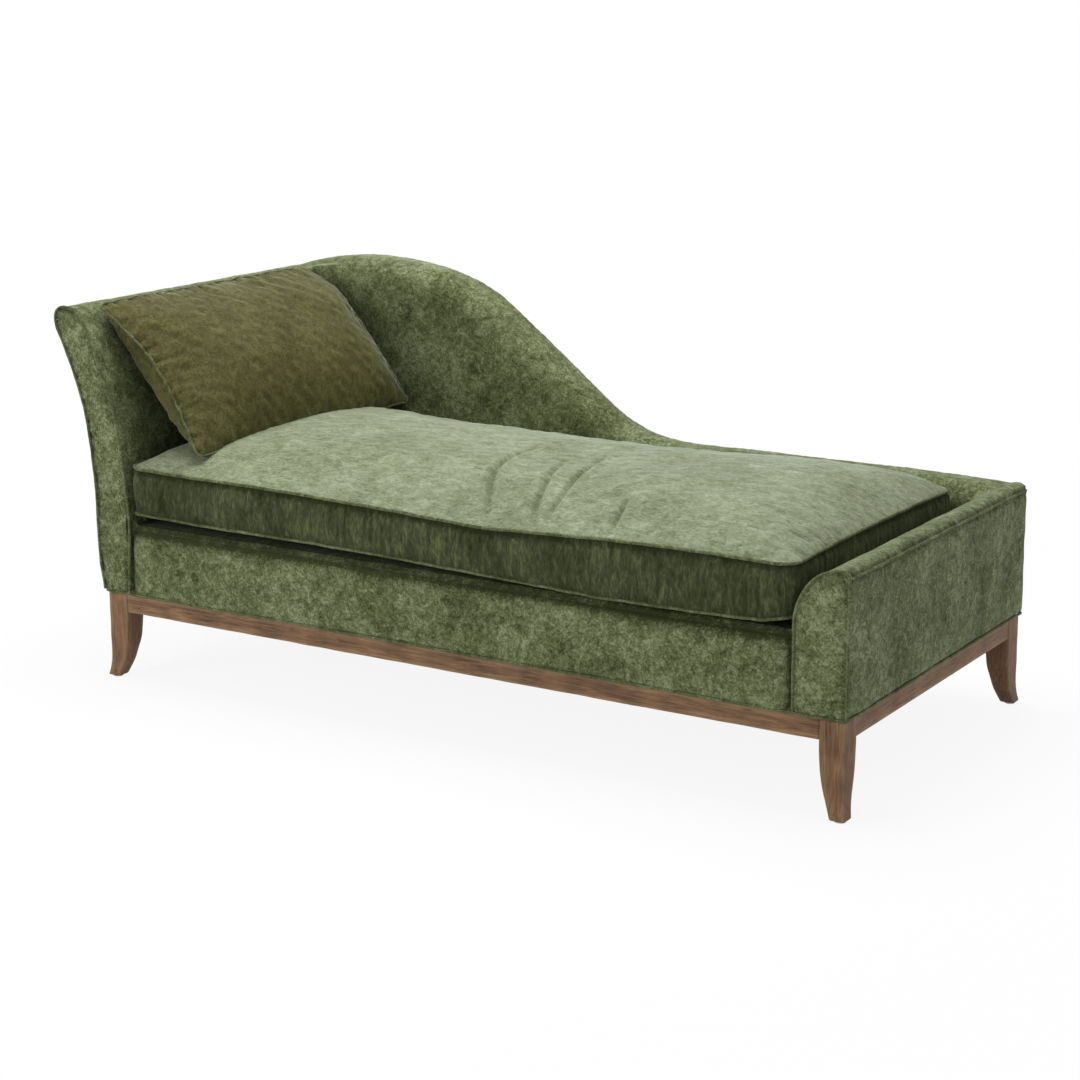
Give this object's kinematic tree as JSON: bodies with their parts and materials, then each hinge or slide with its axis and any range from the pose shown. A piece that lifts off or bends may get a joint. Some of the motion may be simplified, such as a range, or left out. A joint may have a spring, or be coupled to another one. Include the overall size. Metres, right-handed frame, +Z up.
{
  "type": "chaise longue",
  "caption": "Upholstered day chaise with a flared head end, a rear wall that falls in a long curve to a low foot end, a loose seat cushion and a lumbar pillow on a wooden base.",
  "frame": {"origin": "on the floor under the middle of the overall length and depth", "axes": "+X from the head end to the foot end, +Y from the open long side to the rear wall, +Z up"},
  "size_m": [1.9091, 0.8724, 0.8582],
  "materials": {
    "velvet": "crushed pile",
    "weathered_oak": "open-grain wash, satin",
    "frame_timber": "planed, unfinished",
    "plywood": "sawn, unfinished",
    "polyester_wadding": "matt, fluffy",
    "foam": "open-cell foam, matt",
    "felt_pad": "needled felt, matt",
    "dust_cloth": "non-woven, matt",
    "spring_steel": "oil-tempered",
    "zinc_steel": "zinc plated",
    "zip_tape": "woven tape and coil",
    "zip_metal": "antique brass",
    "glide_nylon": "moulded, matt"
  },
  "bodies": {
    "body": {"head_facing": "velvet", "foot_facing": "velvet", "head_outside_cover": "velvet", "foot_outside_cover": "velvet", "foot_inside_cover": "velvet", "inside_back_cover": "velvet", "rear_outside_cover": "velvet", "front_border": "velvet", "deck_cover": "velvet", "facing_welts": "velvet", "top_welts": "velvet", "base_welt": "velvet", "leg_front_head": "weathered_oak", "leg_front_foot": "weathered_oak", "leg_rear_head": "weathered_oak", "leg_rear_foot": "weathered_oak", "apron_front": "weathered_oak", "apron_rear": "weathered_oak", "apron_head": "weathered_oak", "apron_foot": "weathered_oak", "seat_rail_front": "frame_timber", "seat_rail_rear": "frame_timber", "seat_rail_head": "frame_timber", "seat_rail_foot": "frame_timber", "cross_rails": "frame_timber", "corner_blocks": "frame_timber", "head_slats": "frame_timber", "foot_top_rail": "frame_timber", "rear_spacers": "frame_timber", "head_boards": "plywood", "foot_boards": "plywood", "rear_inner_board": "plywood", "rear_outer_board": "plywood", "head_padding": "foam", "foot_padding": "foam", "rear_padding": "foam", "front_border_padding": "foam", "deck_foam": "foam", "insulator_pad": "felt_pad", "dust_cover": "dust_cloth", "seat_springs": "spring_steel", "spring_clips": "zinc_steel", "leg_bolts": "zinc_steel", "leg_nuts_and_washers": "zinc_steel", "base_screws": "zinc_steel", "frame_screws": "zinc_steel", "foot_glides": "glide_nylon"},
    "seat_cushion": {"cushion_core": "foam", "cushion_wrap": "polyester_wadding", "cushion_top_panel": "velvet", "cushion_side_panel": "velvet", "cushion_bottom_panel": "velvet", "cushion_welts": "velvet", "cushion_zip": "zip_tape"},
    "pillow": {"pillow_filling": "polyester_wadding", "pillow_front_panel": "velvet", "pillow_back_panel": "velvet", "pillow_welt": "velvet"},
    "zip_slider": {"cushion_zip_slider": "zip_metal"}
  },
  "joints": [
    {"name": "seat_cushion_lift", "type": "slide", "parent": "body", "child": "seat_cushion", "axis": [0, 0, 1], "range_m": [0, 0.52]},
    {"name": "pillow_lift", "type": "slide", "parent": "seat_cushion", "child": "pillow", "axis": [0, 0, 1], "range_m": [0, 0.4]},
    {"name": "zip_slide", "type": "slide", "parent": "seat_cushion", "child": "zip_slider", "axis": [1, 0, 0], "range_m": [0, 1.2]}
  ]
}
